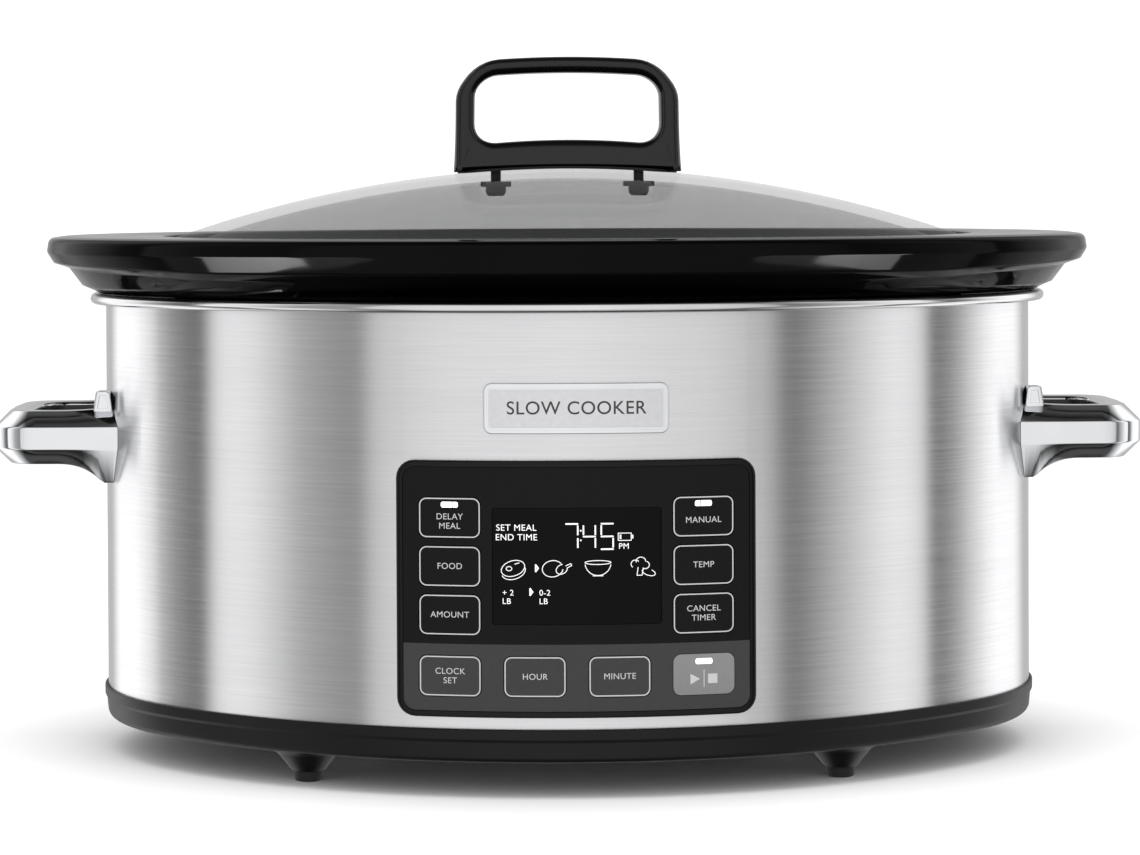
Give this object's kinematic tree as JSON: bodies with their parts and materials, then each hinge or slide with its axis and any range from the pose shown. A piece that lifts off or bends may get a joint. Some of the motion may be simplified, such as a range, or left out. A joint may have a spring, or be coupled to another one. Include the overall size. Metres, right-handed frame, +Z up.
{
  "type": "slow cooker",
  "caption": "Oval countertop slow cooker: brushed steel heater base with key panel and loop handles, lift-out glazed pot and domed glass lid with a loop handle.",
  "frame": {"origin": "on the table under the middle of the oval, at the level of the feet", "axes": "+X to the right along the oval's length, -Y towards the front with the control panel, +Z up"},
  "size_m": [0.444, 0.28, 0.2674],
  "materials": {
    "brushed_steel": "horizontally brushed stainless sheet",
    "polished_steel": "polished stainless steel, drawn and rolled",
    "chrome_plating": "bright chrome plating",
    "black_moulding": "satin moulded black plastic",
    "gloss_black": "gloss moulded black plastic",
    "overlay_sheet": "printed satin overlay sheet",
    "key_sheet": "satin keypad patch, printed outline",
    "start_key_sheet": "grey satin keypad patch",
    "window_sheet": "dark gloss window",
    "stoneware": "gloss black glaze over stoneware",
    "lid_glass": "clear tempered glass",
    "handle_plastic": "satin heat-proof moulding",
    "silicone": "soft moulded silicone",
    "rubber": "moulded rubber",
    "fastener_steel": "zinc plated steel",
    "black_fastener": "black coated steel",
    "circuit_board": "green solder mask on glass-fibre board",
    "component_black": "moulded component housing",
    "component_yellow": "taped winding and film component",
    "component_green": "moulded terminal block",
    "lamp_lens": "frosted light pipe",
    "backlight": "white diffuser moulding",
    "aluminium_sheet": "mill finish sheet",
    "mica_band": "mica and glass-fibre sleeve",
    "insulation": "glass-fibre blanket",
    "ribbon": "grey ribbon cable"
  },
  "bodies": {
    "base": {"base_pan": "black_moulding", "feet": "rubber", "well_posts": "fastener_steel", "base_screws": "fastener_steel", "outer_wrap": "brushed_steel", "heating_well": "polished_steel", "side_handle_right": "chrome_plating", "side_handle_left": "chrome_plating", "handle_washers": "component_black", "handle_screws": "fastener_steel", "nameplate": "chrome_plating", "panel_bezel": "gloss_black", "panel_overlay": "overlay_sheet", "display_window": "window_sheet", "indicator_lenses": "lamp_lens", "control_board": "circuit_board", "key_switches": "component_black", "indicator_leds": "lamp_lens", "display_glass": "window_sheet", "display_backlight": "backlight", "power_board": "circuit_board", "relay": "component_black", "transformer": "component_yellow", "capacitor": "component_yellow", "terminal_block": "component_green", "board_screws": "fastener_steel", "ribbon_cable": "ribbon", "ribbon_headers": "component_black", "heat_shield": "aluminium_sheet", "temperature_sensor": "fastener_steel", "heater_band": "mica_band", "band_insulation": "insulation", "band_clamps": "fastener_steel", "clamp_screw": "fastener_steel", "thermal_fuse": "fastener_steel", "fuse_clip": "fastener_steel", "cord_gland": "black_moulding", "gland_nut": "black_moulding"},
    "pot": {"stoneware_pot": "stoneware"},
    "lid": {"lid_glass": "lid_glass", "lid_gasket": "silicone", "lid_handle": "handle_plastic", "lid_washers": "silicone", "lid_screws": "black_fastener"},
    "key_schedule_body": {"key_schedule": "key_sheet"},
    "key_food_body": {"key_food": "key_sheet"},
    "key_amount_body": {"key_amount": "key_sheet"},
    "key_manual_body": {"key_manual": "key_sheet"},
    "key_temp_body": {"key_temp": "key_sheet"},
    "key_cancel_body": {"key_cancel": "key_sheet"},
    "key_clock_body": {"key_clock": "key_sheet"},
    "key_hour_body": {"key_hour": "key_sheet"},
    "key_minute_body": {"key_minute": "key_sheet"},
    "key_start_stop_body": {"key_start_stop": "start_key_sheet"}
  },
  "joints": [
    {"name": "pot_lift", "type": "slide", "parent": "base", "child": "pot", "axis": [0, 0, 1], "range_m": [0, 0.15]},
    {"name": "lid_lift", "type": "slide", "parent": "pot", "child": "lid", "axis": [0, 0, 1], "range_m": [0, 0.08]},
    {"name": "key_schedule_press", "type": "slide", "parent": "base", "child": "key_schedule_body", "axis": [0, 1, 0], "range_m": [0, 0.0004], "stiffness_N_per_m": 1000},
    {"name": "key_food_press", "type": "slide", "parent": "base", "child": "key_food_body", "axis": [0, 1, 0], "range_m": [0, 0.0004], "stiffness_N_per_m": 1000},
    {"name": "key_amount_press", "type": "slide", "parent": "base", "child": "key_amount_body", "axis": [0, 1, 0], "range_m": [0, 0.0004], "stiffness_N_per_m": 1000},
    {"name": "key_manual_press", "type": "slide", "parent": "base", "child": "key_manual_body", "axis": [0, 1, 0], "range_m": [0, 0.0004], "stiffness_N_per_m": 1000},
    {"name": "key_temp_press", "type": "slide", "parent": "base", "child": "key_temp_body", "axis": [0, 1, 0], "range_m": [0, 0.0004], "stiffness_N_per_m": 1000},
    {"name": "key_cancel_press", "type": "slide", "parent": "base", "child": "key_cancel_body", "axis": [0, 1, 0], "range_m": [0, 0.0004], "stiffness_N_per_m": 1000},
    {"name": "key_clock_press", "type": "slide", "parent": "base", "child": "key_clock_body", "axis": [0, 1, 0], "range_m": [0, 0.0004], "stiffness_N_per_m": 1000},
    {"name": "key_hour_press", "type": "slide", "parent": "base", "child": "key_hour_body", "axis": [0, 1, 0], "range_m": [0, 0.0004], "stiffness_N_per_m": 1000},
    {"name": "key_minute_press", "type": "slide", "parent": "base", "child": "key_minute_body", "axis": [0, 1, 0], "range_m": [0, 0.0004], "stiffness_N_per_m": 1000},
    {"name": "key_start_stop_press", "type": "slide", "parent": "base", "child": "key_start_stop_body", "axis": [0, 1, 0], "range_m": [0, 0.0004], "stiffness_N_per_m": 1000}
  ]
}
